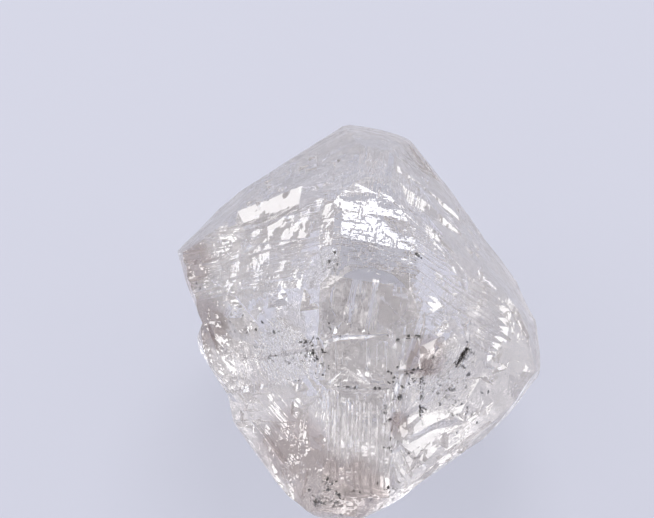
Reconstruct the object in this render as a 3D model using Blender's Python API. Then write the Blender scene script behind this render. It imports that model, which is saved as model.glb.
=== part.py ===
"""A rough diamond: one natural octahedral crystal with broad stepped edges, lying on its broken back point.

Units are metres and +Z is up. The stone rests on the flat fracture at its base, over the origin. The
crystal's own axes are a, towards the right corner, b, towards the far corner, and c, towards the near point,
which lies uppermost. Every facet is given by its direction in those axes and its distance from the crystal's
centre. The stone is a core under growth layers, which are thinner bodies bounded by the same kinds of facet,
and all of it is trimmed to the rounded outline that the stone shows from above and in front.
"""

import math
import random
from itertools import combinations

import bmesh
import bpy
import numpy as np
from mathutils import Euler

NODE = "rough_diamond"
MM = 0.001
SEED = 11

# How the crystal's axes stand in the world: turned about the vertical, and leaning a little to the right.
AXES_TURN = math.radians(-8.5)
AXES_LEAN = math.radians(5.3)
BASE_DEPTH = 2.55 * MM  # from the centre down to the fracture that it rests on

# The eight octahedral faces, by the signs of their direction.
FAR_RIGHT = (+1, +1, +1)
FAR_LEFT = (-1, +1, +1)
NEAR_LEFT = (-1, -1, +1)
NEAR_RIGHT = (+1, -1, +1)
UNDER_FAR_RIGHT = (+1, +1, -1)
UNDER_FAR_LEFT = (-1, +1, -1)
UNDER_NEAR_LEFT = (-1, -1, -1)
UNDER_NEAR_RIGHT = (+1, -1, -1)
OCTAHEDRON = {
    FAR_RIGHT: 2.60 * MM,
    FAR_LEFT: 3.05 * MM,
    NEAR_LEFT: 2.80 * MM,
    NEAR_RIGHT: 2.95 * MM,
    UNDER_FAR_RIGHT: 2.62 * MM,
    UNDER_FAR_LEFT: 3.02 * MM,
    UNDER_NEAR_LEFT: 2.98 * MM,
    UNDER_NEAR_RIGHT: 3.02 * MM,
}
# The rounded edges, one facet along each of the twelve.
RIGHT_RIDGE = (+1, 0, +1)
LEFT_RIDGE = (-1, 0, +1)
FAR_RIDGE = (0, +1, +1)
NEAR_RIDGE = (0, -1, +1.2)
FAR_RIGHT_EDGE = (+1, +1, 0)
FAR_LEFT_EDGE = (-1, +1, 0)
NEAR_LEFT_EDGE = (-1, -1, 0)
NEAR_RIGHT_EDGE = (+1, -1, 0)
UNDER_RIGHT_RIDGE = (+1, 0, -1)
UNDER_LEFT_RIDGE = (-1, 0, -1)
UNDER_FAR_RIDGE = (0, +1, -1)
UNDER_NEAR_RIDGE = (0, -1, -1)
EDGES = {
    RIGHT_RIDGE: 2.86 * MM,
    LEFT_RIDGE: 2.98 * MM,
    FAR_RIDGE: 3.26 * MM,
    NEAR_RIDGE: 3.00 * MM,
    FAR_RIGHT_EDGE: 3.04 * MM,
    FAR_LEFT_EDGE: 3.50 * MM,
    NEAR_LEFT_EDGE: 3.36 * MM,
    NEAR_RIGHT_EDGE: 3.46 * MM,
    UNDER_RIGHT_RIDGE: 3.05 * MM,
    UNDER_LEFT_RIDGE: 3.15 * MM,
    UNDER_FAR_RIDGE: 3.20 * MM,
    UNDER_NEAR_RIDGE: 3.20 * MM,
}
# The blunted corners, and the cap over the near point, which is three shallow facets.
CORNERS = {
    (+1, 0, 0): 3.70 * MM,
    (-1, 0, 0): 4.00 * MM,
    (0, +1, 0): 4.05 * MM,
    (0, -1, 0): 4.40 * MM,
    (0, +0.32, +1): 3.43 * MM,
    (0, +0.13, +1): 3.43 * MM,
    (0, -0.14, +1): 3.40 * MM,
}

# The outline from above and in front: the bearing of each side, in degrees anticlockwise from the right, and
# its distance from the centre. Each side is a pair of facets that meet at a low ridge along the outline.
SIGHT_RISE = math.radians(66)
OUTLINE_RIDGE = math.radians(13)
OUTLINE = {
    7: 3.48 * MM,
    26: 3.12 * MM,
    34: 2.98 * MM,
    53: 3.48 * MM,
    67: 3.73 * MM,
    82: 3.89 * MM,
    99: 3.95 * MM,
    116: 3.70 * MM,
    124.5: 3.60 * MM,
    135.5: 3.59 * MM,
    188: 3.53 * MM,
    194: 3.35 * MM,
    205: 3.27 * MM,
    213: 3.39 * MM,
    226: 3.66 * MM,
    236: 3.83 * MM,
    270: 4.07 * MM,
    289: 3.86 * MM,
    305: 3.46 * MM,
    314: 3.46 * MM,
    320: 3.52 * MM,
}
# The two bays in the left side: the inmost point of each, right of the centre and up in the outline, the
# bearings of its two sides, and how far each side leans.
BAYS = (
    ((-3.21 * MM, -0.12 * MM), (202, 163), (math.radians(3), math.radians(-5))),
    ((-2.70 * MM, -1.56 * MM), (214, 192), (math.radians(4), math.radians(-4))),
)

CLEAR_OF_STONE = 6 * MM  # far enough from the centre to lie outside every facet

# Steps down each ridge: the two faces, the ridge between them, how many, and how far they stand out of it.
STAIRS = (
    (FAR_LEFT, NEAR_LEFT, LEFT_RIDGE, 10, 0.12 * MM),
    (FAR_RIGHT, NEAR_RIGHT, RIGHT_RIDGE, 10, 0.12 * MM),
    (FAR_LEFT, FAR_RIGHT, FAR_RIDGE, 6, 0.09 * MM),
    (FAR_LEFT, UNDER_FAR_LEFT, FAR_LEFT_EDGE, 3, 0.10 * MM),
    (FAR_RIGHT, UNDER_FAR_RIGHT, FAR_RIGHT_EDGE, 3, 0.08 * MM),
    (NEAR_LEFT, UNDER_NEAR_LEFT, NEAR_LEFT_EDGE, 4, 0.10 * MM),
    (NEAR_RIGHT, UNDER_NEAR_RIGHT, NEAR_RIGHT_EDGE, 4, 0.12 * MM),
    (UNDER_FAR_LEFT, UNDER_NEAR_LEFT, UNDER_LEFT_RIDGE, 3, 0.12 * MM),
    (UNDER_FAR_RIGHT, UNDER_NEAR_RIGHT, UNDER_RIGHT_RIDGE, 3, 0.12 * MM),
    (UNDER_FAR_LEFT, UNDER_FAR_RIGHT, UNDER_FAR_RIDGE, 3, 0.10 * MM),
    (UNDER_NEAR_LEFT, UNDER_NEAR_RIGHT, UNDER_NEAR_RIDGE, 3, 0.10 * MM),
)
STEP_PLACE = (0.25, 0.75)  # where a step lies in its own share of the way down
STAIR_END = (0.10 * MM, 0.42 * MM)  # how far short of the other faces a step stops
RIDGE_INSET = (0.02 * MM, 0.10 * MM)  # how far it stays inside the other ridges
CORNER_INSET = 0.03 * MM  # how far it stays inside the blunted corners
FACET_WANDER = 0.012  # how far a layer's facets lean from the true direction, as a share of the unit normal

# Growth plates: the face that each lies on, how far it stands out, and the facets that bound it.
PLATE_DEPTH = 0.5 * MM  # how far every plate reaches into the stone
PLATE_PROUD = 0.02 * MM  # how far one may stand out of the ridges and corners
PLATES = (
    (NEAR_LEFT, 0.11 * MM, {(-1, -1, -0.1): 2.16 * MM, NEAR_RIGHT: 2.00 * MM, (0.5, -1, -0.5): 0.85 * MM}),
    (NEAR_LEFT, 0.06 * MM, {(-1, -1, -0.1): 2.86 * MM, NEAR_RIGHT: 2.11 * MM, (0.5, -1, -0.5): 1.14 * MM}),
    (NEAR_LEFT, 0.06 * MM, {(-0.5, 1, 0.5): -2.60 * MM, NEAR_RIGHT: 2.15 * MM}),
    (NEAR_RIGHT, 0.09 * MM, {(1, -1, -0.1): 3.43 * MM, FAR_RIGHT: 0.50 * MM, NEAR_LEFT: 1.82 * MM}),
    (NEAR_RIGHT, 0.06 * MM, {(1, -1, -0.1): 2.70 * MM, FAR_RIGHT: 1.81 * MM, NEAR_LEFT: 1.54 * MM}),
    (NEAR_RIGHT, 0.12 * MM, {(1, -1, -0.1): 2.20 * MM, FAR_RIGHT: 1.50 * MM, NEAR_LEFT: 1.40 * MM}),
    (FAR_RIGHT, 0.08 * MM, {(0.6, -1, 0.6): 0.47 * MM, FAR_LEFT: 2.20 * MM, UNDER_FAR_RIGHT: 1.10 * MM}),
    (FAR_RIGHT, 0.05 * MM, {(0.6, -1, 0.6): 1.25 * MM, FAR_LEFT: 2.40 * MM, UNDER_FAR_RIGHT: 0.60 * MM}),
    (FAR_LEFT, 0.07 * MM, {(-1, -1, 1): 1.30 * MM, FAR_RIGHT: 1.80 * MM, UNDER_FAR_LEFT: 1.10 * MM}),
    (FAR_LEFT, 0.05 * MM, {(-1, -1, 1): 1.80 * MM, FAR_RIGHT: 1.50 * MM, UNDER_FAR_LEFT: 0.40 * MM}),
    (UNDER_FAR_LEFT, 0.08 * MM, {FAR_LEFT: 0.90 * MM, UNDER_NEAR_LEFT: 0.90 * MM}),
    (UNDER_FAR_RIGHT, 0.08 * MM, {FAR_RIGHT: 0.80 * MM, UNDER_FAR_LEFT: 1.20 * MM}),
    (UNDER_NEAR_LEFT, 0.08 * MM, {NEAR_LEFT: 1.10 * MM, UNDER_FAR_LEFT: 1.00 * MM}),
    (UNDER_NEAR_RIGHT, 0.08 * MM, {NEAR_RIGHT: 1.00 * MM, UNDER_NEAR_LEFT: 1.40 * MM}),
)
# Smaller growth plates, which are irregular triangles scattered over every octahedral face.
HILLOCKS_A_FACE = 7
NEIGHBOUR_COSINE = 1 / 3  # between the directions of two octahedral faces that share an edge
HILLOCK_LIFT = (0.018 * MM, 0.05 * MM)
HILLOCK_SCATTER = 0.95 * MM  # from the face's middle to a plate's, along each of two of its sides
HILLOCK_REACH = (0.22 * MM, 1.05 * MM)  # from a plate's middle to each of its rims
HILLOCK_BEVEL = (0.0, 0.9)  # how far its rims lean outwards, from steep to shallow

# The window pane: a broad plate on the near ridge, with upright sides in the outline's view.
PANE_SIDES = (-0.66 * MM, +0.62 * MM)
PANE_LIFT = 0.04 * MM
PANE_TOP = 0.42 * MM
PANE_FOOT = 2.85 * MM
PANE_SHOULDER = 0.62 * MM  # from the pane's middle to its two slanting top corners

# The comb: narrow ridges side by side down the lower half of the near ridge.
COMB_RIDGES = 8
COMB_SIDE = 0.52 * MM  # from the middle of the pane to the outermost ridge of the comb
COMB_SWAY = 0.03 * MM
COMB_LIFT = (0.03 * MM, 0.07 * MM)
COMB_CREST = 0.55  # the ridges' flanks face this much outwards for 1 sideways
COMB_TOP_FACET = (0, 1, 0.9)
COMB_TOP = (-0.76 * MM, -0.64 * MM)
COMB_FOOT_FACET = (0, -1, -0.4)
COMB_FOOT = (3.27 * MM, 3.57 * MM)

# Clear diamond with a faint pink-brown tint.
DIAMOND_COLOUR = (0.86, 0.79, 0.77, 1.0)
DIAMOND_ROUGHNESS = 0.06
DIAMOND_IOR = 2.417

# How three planes are taken to meet in a corner: never when almost parallel, and corners this close are one.
NEARLY_PARALLEL = 1e-3
ROUNDING = 1e-6 * MM
CORNER_DECIMALS = 8
FLAT_ANGLE = math.radians(0.1)


def crystal_axes():
    """The crystal's axes a, b and c in the world, as the columns of a 3 by 3 array."""
    return np.array(Euler((0, AXES_LEAN, AXES_TURN), "YXZ").to_matrix())


def unit(direction):
    return np.asarray(direction, float) / np.linalg.norm(direction)


def in_world(direction):
    return crystal_axes() @ unit(direction)


def towards(bearing):
    """The direction in the world that has this bearing in the outline."""
    across, up = math.cos(math.radians(bearing)), math.sin(math.radians(bearing))
    return np.array((across, up * math.sin(SIGHT_RISE), up * math.cos(SIGHT_RISE)))


def side_facets(bearing, distance, slants):
    """The facets that meet along one side of the outline, at the crystal's own girdle, slanted this much."""
    out, girdle = towards(bearing), in_world((0, 0, 1))
    to_eye = np.array((0.0, -math.cos(SIGHT_RISE), math.sin(SIGHT_RISE)))
    point = out * distance - to_eye * distance * float(out @ girdle) / float(to_eye @ girdle)
    along = unit(np.cross(out, girdle))
    planes = []
    for slant in slants:
        normal = out * math.cos(slant) + np.cross(along, out) * math.sin(slant)
        planes.append((normal, float(normal @ point)))
    return planes


def convex_body(planes):
    """A bmesh of the convex body inside these planes, each a unit normal and a distance from the centre."""
    normals = np.array([normal for normal, _ in planes])
    distances = np.array([distance for _, distance in planes])
    triples = np.array(list(combinations(range(len(planes)), 3)))
    systems = normals[triples]
    solvable = np.abs(np.linalg.det(systems)) > NEARLY_PARALLEL
    points = np.linalg.solve(systems[solvable], distances[triples[solvable]][..., None])[..., 0]
    inside = (points @ normals.T <= distances + ROUNDING).all(axis=1)
    corners = np.unique(np.round(points[inside], CORNER_DECIMALS), axis=0)
    body = bmesh.new()
    for corner in corners:
        body.verts.new(corner)
    bmesh.ops.convex_hull(body, input=body.verts)
    bmesh.ops.dissolve_limit(body, angle_limit=FLAT_ANGLE, verts=body.verts, edges=body.edges)
    bmesh.ops.recalc_face_normals(body, faces=body.faces)
    return body


def add_body(name, planes):
    body = convex_body(planes)
    mesh = bpy.data.meshes.new(name)
    body.to_mesh(mesh)
    body.free()
    made = bpy.data.objects.new(name, mesh)
    bpy.context.scene.collection.objects.link(made)
    return made


def core_planes():
    return [
        (in_world(direction), distance)
        for group in (OCTAHEDRON, EDGES, CORNERS)
        for direction, distance in group.items()
    ]


def outline_planes():
    planes = [(np.array((0.0, 0.0, -1.0)), BASE_DEPTH)]
    for bearing, distance in OUTLINE.items():
        planes.extend(side_facets(bearing, distance, (-OUTLINE_RIDGE, OUTLINE_RIDGE)))
    return planes


def bay_planes(point, bearings, slants):
    """The wedge cut into the left side, from its two sides out to well clear of the stone."""
    planes = []
    for bearing, slant in zip(bearings, slants):
        turn = math.radians(bearing)
        offset = point[0] * math.cos(turn) + point[1] * math.sin(turn)
        (side,) = side_facets(bearing, offset, (slant,))
        planes.append((-side[0], -side[1]))
    for bearing in (90, 180, 270):
        planes.append((towards(bearing), CLEAR_OF_STONE))
    for side in (-1, +1):
        planes.append((in_world((0, 0, side)), CLEAR_OF_STONE))
    return planes


def wandering(direction, rng):
    """This direction of the crystal in the world, a little astray."""
    wander = np.array([rng.gauss(0, FACET_WANDER) for _ in range(3)])
    return unit(in_world(direction) + wander)


def stair_layers(first, second, ridge, steps, lift, rng):
    """The layers that step down from one face to the next across the ridge between them."""
    cosine = float(unit(first) @ unit(ridge))
    together = 2 * cosine * EDGES[ridge] + lift
    slack = OCTAHEDRON[first] + OCTAHEDRON[second] - together
    for step in range(steps):
        share = (step + rng.uniform(*STEP_PLACE)) / steps
        reach = dict.fromkeys(OCTAHEDRON)
        reach[first] = OCTAHEDRON[first] - share * slack
        reach[second] = together - reach[first]
        planes = []
        for face, distance in reach.items():
            if distance is None:
                distance = OCTAHEDRON[face] - rng.uniform(*STAIR_END)
            planes.append((wandering(face, rng), distance))
        for other, distance in EDGES.items():
            if other != ridge:
                planes.append((in_world(other), distance - rng.uniform(*RIDGE_INSET)))
        for corner, distance in CORNERS.items():
            planes.append((in_world(corner), distance - CORNER_INSET))
        yield planes


def plate_layers(rng):
    for face, lift, bounds in PLATES:
        planes = [
            (wandering(face, rng), OCTAHEDRON[face] + lift),
            (-in_world(face), PLATE_DEPTH - OCTAHEDRON[face]),
        ]
        for direction, distance in bounds.items():
            planes.append((wandering(direction, rng), distance))
        for group in (EDGES, CORNERS):
            for direction, distance in group.items():
                planes.append((in_world(direction), distance + PLATE_PROUD))
        yield planes


def neighbours(face):
    """The three octahedral faces that share an edge with this one."""
    turns = np.ones((3, 3), int) - 2 * np.eye(3, dtype=int)
    return [tuple(turn) for turn in turns * face]


def hillock_layers(rng):
    for face, distance in OCTAHEDRON.items():
        for _ in range(HILLOCKS_A_FACE):
            top = distance + rng.uniform(*HILLOCK_LIFT)
            shift = [rng.uniform(-HILLOCK_SCATTER, HILLOCK_SCATTER) for _ in range(2)]
            shift.append(-sum(shift))
            planes = [
                (wandering(face, rng), top),
                (-in_world(face), PLATE_DEPTH - distance),
            ]
            for neighbour, across in zip(neighbours(face), shift):
                rim = distance * NEIGHBOUR_COSINE + across + rng.uniform(*HILLOCK_REACH)
                bevel = rng.uniform(*HILLOCK_BEVEL)
                leaning = unit(neighbour) + unit(face) * bevel
                planes.append((wandering(leaning, rng), (rim + bevel * top) / np.linalg.norm(leaning)))
            for group in (EDGES, CORNERS):
                for direction, reach in group.items():
                    planes.append((in_world(direction), reach - rng.uniform(*RIDGE_INSET)))
            yield planes


def window_axes():
    """The way out of the window, and the ways across it and up it, as the outline's view sees them."""
    out = in_world(NEAR_RIDGE)
    right = np.array((1.0, 0.0, 0.0))
    across = unit(right - out * float(out @ right))
    return out, across, np.cross(out, across)


def pane_layer():
    out, across, up = window_axes()
    left, right = PANE_SIDES
    middle = across * (left + right) / 2
    planes = [(out, EDGES[NEAR_RIDGE] + PANE_LIFT), (-out, PLATE_DEPTH - EDGES[NEAR_RIDGE])]
    planes.extend([(across, right), (-across, -left), (up, PANE_TOP), (-up, PANE_FOOT)])
    for side in (-1, +1):
        shoulder = unit(up + across * side)
        planes.append((shoulder, float(shoulder @ middle) + PANE_SHOULDER))
    return planes


def comb_layers(rng):
    out, across, up = window_axes()
    middle = sum(PANE_SIDES) / 2
    for ridge in range(COMB_RIDGES):
        place = middle + COMB_SIDE * (2 * ridge / (COMB_RIDGES - 1) - 1) + rng.uniform(-COMB_SWAY, COMB_SWAY)
        crest = out * (EDGES[NEAR_RIDGE] + PANE_LIFT + rng.uniform(*COMB_LIFT)) + across * place
        planes = [
            (in_world(COMB_TOP_FACET), rng.uniform(*COMB_TOP)),
            (in_world(COMB_FOOT_FACET), rng.uniform(*COMB_FOOT)),
            (-out, PLATE_DEPTH - EDGES[NEAR_RIDGE]),
        ]
        for side in (-1, +1):
            flank = unit(out * COMB_CREST + across * side)
            planes.append((flank, float(flank @ crest)))
        yield planes


def diamond():
    material = bpy.data.materials.new("diamond")
    material.use_nodes = True
    shader = material.node_tree.nodes["Principled BSDF"]
    shader.inputs["Base Color"].default_value = DIAMOND_COLOUR
    shader.inputs["Metallic"].default_value = 0.0
    shader.inputs["Roughness"].default_value = DIAMOND_ROUGHNESS
    shader.inputs["IOR"].default_value = DIAMOND_IOR
    shader.inputs["Transmission Weight"].default_value = 1.0
    return material


def join(stone, operation, operand):
    """Joins one more body. The exact solver takes minutes over so many layers and leaves most of them out,
    and every body here is closed, so the manifold solver does it."""
    step = stone.modifiers.new(operation.lower(), "BOOLEAN")
    step.operation = operation
    step.solver = "MANIFOLD"
    step.object = operand


def settle(stone):
    """Makes the joined shape the stone's own mesh and stands it over the origin."""
    bpy.context.view_layer.update()
    evaluated = stone.evaluated_get(bpy.context.evaluated_depsgraph_get())
    shape = bmesh.new()
    shape.from_mesh(evaluated.to_mesh())
    points = np.array([vertex.co for vertex in shape.verts])
    low, high = points.min(axis=0), points.max(axis=0)
    middle = (low + high) / 2
    bmesh.ops.translate(shape, verts=shape.verts, vec=(-middle[0], -middle[1], -low[2]))
    stone.modifiers.clear()
    shape.to_mesh(stone.data)
    shape.free()
    return middle[0], middle[1], low[2]


def main():
    for old in list(bpy.data.objects):
        bpy.data.objects.remove(old)
    rng = random.Random(SEED)
    layers = [layer for stair in STAIRS for layer in stair_layers(*stair, rng)]
    layers.extend(hillock_layers(rng))
    layers.extend(plate_layers(rng))
    layers.append(pane_layer())
    layers.extend(comb_layers(rng))
    stone = add_body(NODE, core_planes())
    for number, planes in enumerate(layers):
        join(stone, "UNION", add_body(f"layer_{number:03d}", planes))
    join(stone, "INTERSECT", add_body("outline", outline_planes()))
    for number, bay in enumerate(BAYS):
        join(stone, "DIFFERENCE", add_body(f"bay_{number}", bay_planes(*bay)))
    offset = settle(stone)
    for helper in [thing for thing in bpy.data.objects if thing != stone]:
        bpy.data.objects.remove(helper)
    stone.data.materials.append(diamond())
    return offset


if __name__ == "__main__":
    main()
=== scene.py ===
"""Rough diamond: the visual model of an uncut octahedral crystal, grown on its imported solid.

Run as a script in Blender 4.5. Everything is in metres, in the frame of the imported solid: +Z is up, and the
stone lies on its fracture over the origin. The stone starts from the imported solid's own mesh. Growth steps,
plates, etch pits and cleavage feathers that are finer than the solid's are joined to it and cut from it, all
along the crystal's own planes. A ledge that the stone shows from in front is placed by its outline in that
view, in millimetres to the right of the crystal's centre and up.
"""

import math
import random
from itertools import combinations

import bmesh
import bpy
import numpy as np
from bpy.props import FloatProperty, FloatVectorProperty, IntProperty, PointerProperty
from bpy.types import Operator, Panel, PropertyGroup
from mathutils import Euler, Matrix, Vector, noise
from mathutils.bvhtree import BVHTree


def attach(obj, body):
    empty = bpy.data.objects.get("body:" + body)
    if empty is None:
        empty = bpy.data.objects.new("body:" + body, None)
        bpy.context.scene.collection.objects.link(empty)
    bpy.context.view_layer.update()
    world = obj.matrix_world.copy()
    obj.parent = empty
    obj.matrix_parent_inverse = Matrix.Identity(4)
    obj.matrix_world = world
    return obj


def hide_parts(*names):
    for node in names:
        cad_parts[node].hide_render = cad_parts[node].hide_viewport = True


bl_info = {
    "name": "Rough Diamond",
    "version": (1, 0, 0),
    "blender": (4, 5, 0),
    "location": "3D View > Sidebar > Diamond",
    "description": "Grows the fine relief of an uncut diamond on its packed solid and lays out its studio",
    "category": "Object",
}

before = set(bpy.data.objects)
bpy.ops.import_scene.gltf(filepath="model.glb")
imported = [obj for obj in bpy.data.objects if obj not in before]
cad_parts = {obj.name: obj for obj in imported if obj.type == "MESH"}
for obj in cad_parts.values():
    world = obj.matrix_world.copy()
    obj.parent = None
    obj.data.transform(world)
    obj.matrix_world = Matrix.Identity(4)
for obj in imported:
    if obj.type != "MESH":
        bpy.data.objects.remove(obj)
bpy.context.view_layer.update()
SOLID = "rough_diamond"
BODY = "root"
MM = 0.001

# How the crystal's own axes stand in the world, and where they meet: a points right, b far and c up.
AXES_TURN = math.radians(-8.5)
AXES_LEAN = math.radians(5.3)
CENTRE = np.array((0.0693, 0.1427, 2.55)) * MM

# The eight octahedral faces, by the signs of their direction, and their distance from the centre.
FAR_RIGHT = (+1, +1, +1)
FAR_LEFT = (-1, +1, +1)
NEAR_LEFT = (-1, -1, +1)
NEAR_RIGHT = (+1, -1, +1)
UNDER_FAR_RIGHT = (+1, +1, -1)
UNDER_FAR_LEFT = (-1, +1, -1)
UNDER_NEAR_LEFT = (-1, -1, -1)
UNDER_NEAR_RIGHT = (+1, -1, -1)
FACES = {
    FAR_RIGHT: 2.60 * MM,
    FAR_LEFT: 3.05 * MM,
    NEAR_LEFT: 2.80 * MM,
    NEAR_RIGHT: 2.95 * MM,
    UNDER_FAR_RIGHT: 2.62 * MM,
    UNDER_FAR_LEFT: 3.02 * MM,
    UNDER_NEAR_LEFT: 2.98 * MM,
    UNDER_NEAR_RIGHT: 3.02 * MM,
}
NEIGHBOUR_COSINE = 1 / 3  # between the directions of two faces that share an edge
# The rounded edges between them, and the blunted corners, of which the last three cap the near point.
LEFT_RIDGE = (-1, 0, +1)
RIGHT_RIDGE = (+1, 0, +1)
FAR_RIDGE = (0, +1, +1)
NEAR_RIDGE = (0, -1, +1.2)
RIDGES = {
    RIGHT_RIDGE: 2.86 * MM,
    LEFT_RIDGE: 2.98 * MM,
    FAR_RIDGE: 3.26 * MM,
    NEAR_RIDGE: 3.00 * MM,
    (+1, +1, 0): 3.04 * MM,
    (-1, +1, 0): 3.50 * MM,
    (-1, -1, 0): 3.36 * MM,
    (+1, -1, 0): 3.46 * MM,
    (+1, 0, -1): 3.05 * MM,
    (-1, 0, -1): 3.15 * MM,
    (0, +1, -1): 3.20 * MM,
    (0, -1, -1): 3.20 * MM,
}
CAP = (0, +0.13, +1)
CORNERS = {
    (+1, 0, 0): 3.70 * MM,
    (-1, 0, 0): 4.00 * MM,
    (0, +1, 0): 4.05 * MM,
    (0, -1, 0): 4.40 * MM,
    (0, +0.32, +1): 3.43 * MM,
    CAP: 3.43 * MM,
    (0, -0.14, +1): 3.40 * MM,
}
# Fine steps down each rounded edge: the two faces, the edge between them and how many.
STEPPED = (
    (FAR_LEFT, NEAR_LEFT, LEFT_RIDGE, 34),
    (FAR_RIGHT, NEAR_RIGHT, RIGHT_RIDGE, 34),
    (FAR_LEFT, FAR_RIGHT, FAR_RIDGE, 22),
    (FAR_LEFT, UNDER_FAR_LEFT, (-1, +1, 0), 10),
    (FAR_RIGHT, UNDER_FAR_RIGHT, (+1, +1, 0), 10),
    (NEAR_LEFT, UNDER_NEAR_LEFT, (-1, -1, 0), 12),
    (NEAR_RIGHT, UNDER_NEAR_RIGHT, (+1, -1, 0), 12),
    (UNDER_FAR_LEFT, UNDER_NEAR_LEFT, (-1, 0, -1), 8),
    (UNDER_FAR_RIGHT, UNDER_NEAR_RIGHT, (+1, 0, -1), 8),
    (UNDER_FAR_LEFT, UNDER_FAR_RIGHT, (0, +1, -1), 8),
    (UNDER_NEAR_LEFT, UNDER_NEAR_RIGHT, (0, -1, -1), 8),
)

# The bays in the left side: the inmost point of each, and the bearings of its two sides.
BAYS = (
    ((-3.21, -0.12), (202, 163)),
    ((-2.70, -1.56), (214, 192)),
)
# Ledges that stand out of the front: how far each stands out, and its outline, all in millimetres.
LEDGES = (
    (0.05, ((-0.83, -0.04), (-0.79, 0.26), (-0.63, 0.57), (-0.34, 0.83), (0.08, 0.99), (0.49, 0.91), (0.79, 0.67),
            (1.03, 0.36), (1.13, -0.04), (0.77, -0.40), (-0.75, -0.28))),
    (0.09, ((-0.65, 2.55), (-0.34, 2.69), (0.53, 2.55), (0.47, 2.07), (-0.55, 2.03))),
    (0.10, ((-0.61, 1.94), (-0.04, 1.96), (-0.12, 1.66), (-0.49, 1.48))),
    (0.09, ((-0.14, 1.96), (0.49, 1.96), (0.53, 1.42), (0.08, 1.54))),
    (0.08, ((-0.63, 3.20), (-0.32, 3.26), (-0.20, 3.00), (-0.32, 2.75), (-0.59, 2.77))),
    (0.13, ((-2.83, 0.75), (-2.71, 0.79), (-1.34, -0.65), (-1.46, -0.77))),
    (0.12, ((-2.79, 0.89), (-2.51, 1.09), (-1.26, 1.26), (-1.22, 1.09), (-2.47, 0.83))),
    (0.14, ((-2.55, 2.07), (-1.86, 2.36), (-1.13, 2.63), (-1.24, 2.37), (-2.47, 1.94))),
    (0.16, ((-2.02, 1.88), (-1.22, 2.29), (-0.81, 2.21), (-0.89, 2.02), (-1.66, 1.78))),
    (0.15, ((-2.33, 1.56), (-1.46, 1.90), (-0.81, 1.98), (-0.89, 1.82), (-2.02, 1.44))),
    (0.08, ((-3.20, -0.32), (-3.20, -0.22), (-2.51, -0.20), (-2.47, -0.30))),
    (0.09, ((-2.15, -1.58), (-0.89, -1.24), (-0.73, -1.32), (-2.02, -1.70))),
    (0.10, ((-2.47, -1.76), (-2.11, -1.64), (-1.26, -1.68), (-1.46, -1.86), (-2.27, -1.98))),
    (0.05, ((-2.02, -2.19), (-0.75, -1.90), (-0.73, -3.12), (-1.46, -3.04), (-2.02, -2.71))),
    (0.10, ((-2.63, -1.80), (-2.35, -2.00), (-2.02, -2.51), (-2.15, -2.67), (-2.47, -2.31))),
    (0.07, ((0.75, -0.36), (1.15, -0.36), (1.17, -1.01), (0.65, -1.01))),
    (0.09, ((1.19, -0.45), (1.42, -0.45), (1.38, -1.13), (1.17, -1.13))),
    (0.10, ((1.50, -1.13), (2.11, -0.49), (2.27, -0.65), (1.60, -1.25))),
    (0.08, ((0.73, -1.60), (1.45, -1.45), (1.50, -2.10), (0.80, -2.40))),
    (0.09, ((0.61, -2.43), (0.77, -2.31), (1.17, -2.96), (0.81, -3.16), (0.65, -2.92))),
    (0.10, ((0.43, -3.70), (2.69, -1.80), (2.90, -1.95), (0.61, -3.90))),
    (0.17, ((2.41, 0.30), (2.90, 0.41), (3.32, 0.08), (3.40, -0.45), (2.86, -0.40), (2.51, -0.12))),
    (0.14, ((2.35, -0.45), (2.79, -0.50), (3.20, -0.65), (3.08, -0.97), (2.59, -0.85))),
    (0.14, ((0.73, 3.10), (1.01, 2.96), (2.02, 2.09), (1.82, 1.98), (0.77, 2.83))),
    (0.15, ((0.69, 2.55), (0.85, 2.55), (2.02, 1.66), (1.85, 1.58), (0.72, 2.35))),
    (0.13, ((0.81, 2.07), (1.01, 2.02), (2.31, 1.09), (2.19, 0.97), (0.89, 1.86))),
    (0.13, ((1.17, 1.82), (2.79, 0.49), (2.67, 0.36), (1.26, 1.62))),
    (0.15, ((1.50, 0.97), (2.19, 0.73), (3.12, 0.41), (2.96, 0.24), (1.46, 0.81))),
)
LEDGE_DEPTH = 0.35 * MM
LEDGE_TILT = 0.045  # how far a ledge's top leans away from the facet under it
STEEP = 0.2  # a bevel that mirrors a softbox leans at least this far out of the ledge and off its top
MIRRORS = 0.94  # how near to a softbox its reflection has to go, as a cosine
WINDOW_LIFT = 0.04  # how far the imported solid's window pane stands out of the near ridge
# Ridges on the window: the share of them, how far up it they start and end, and how far they stand out.
WINDOW_STRIAE = (
    (0.6, (-2.40, -1.60), (-1.10, -0.45), (0.025, 0.055)),
    (0.4, (-0.30, 0.05), (0.15, 0.60), (0.002, 0.005)),
)
SIGHT_RISE = math.radians(66)  # the rise of the view that the outlines are given in
CLEAR_OF_STONE = 6 * MM
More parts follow.
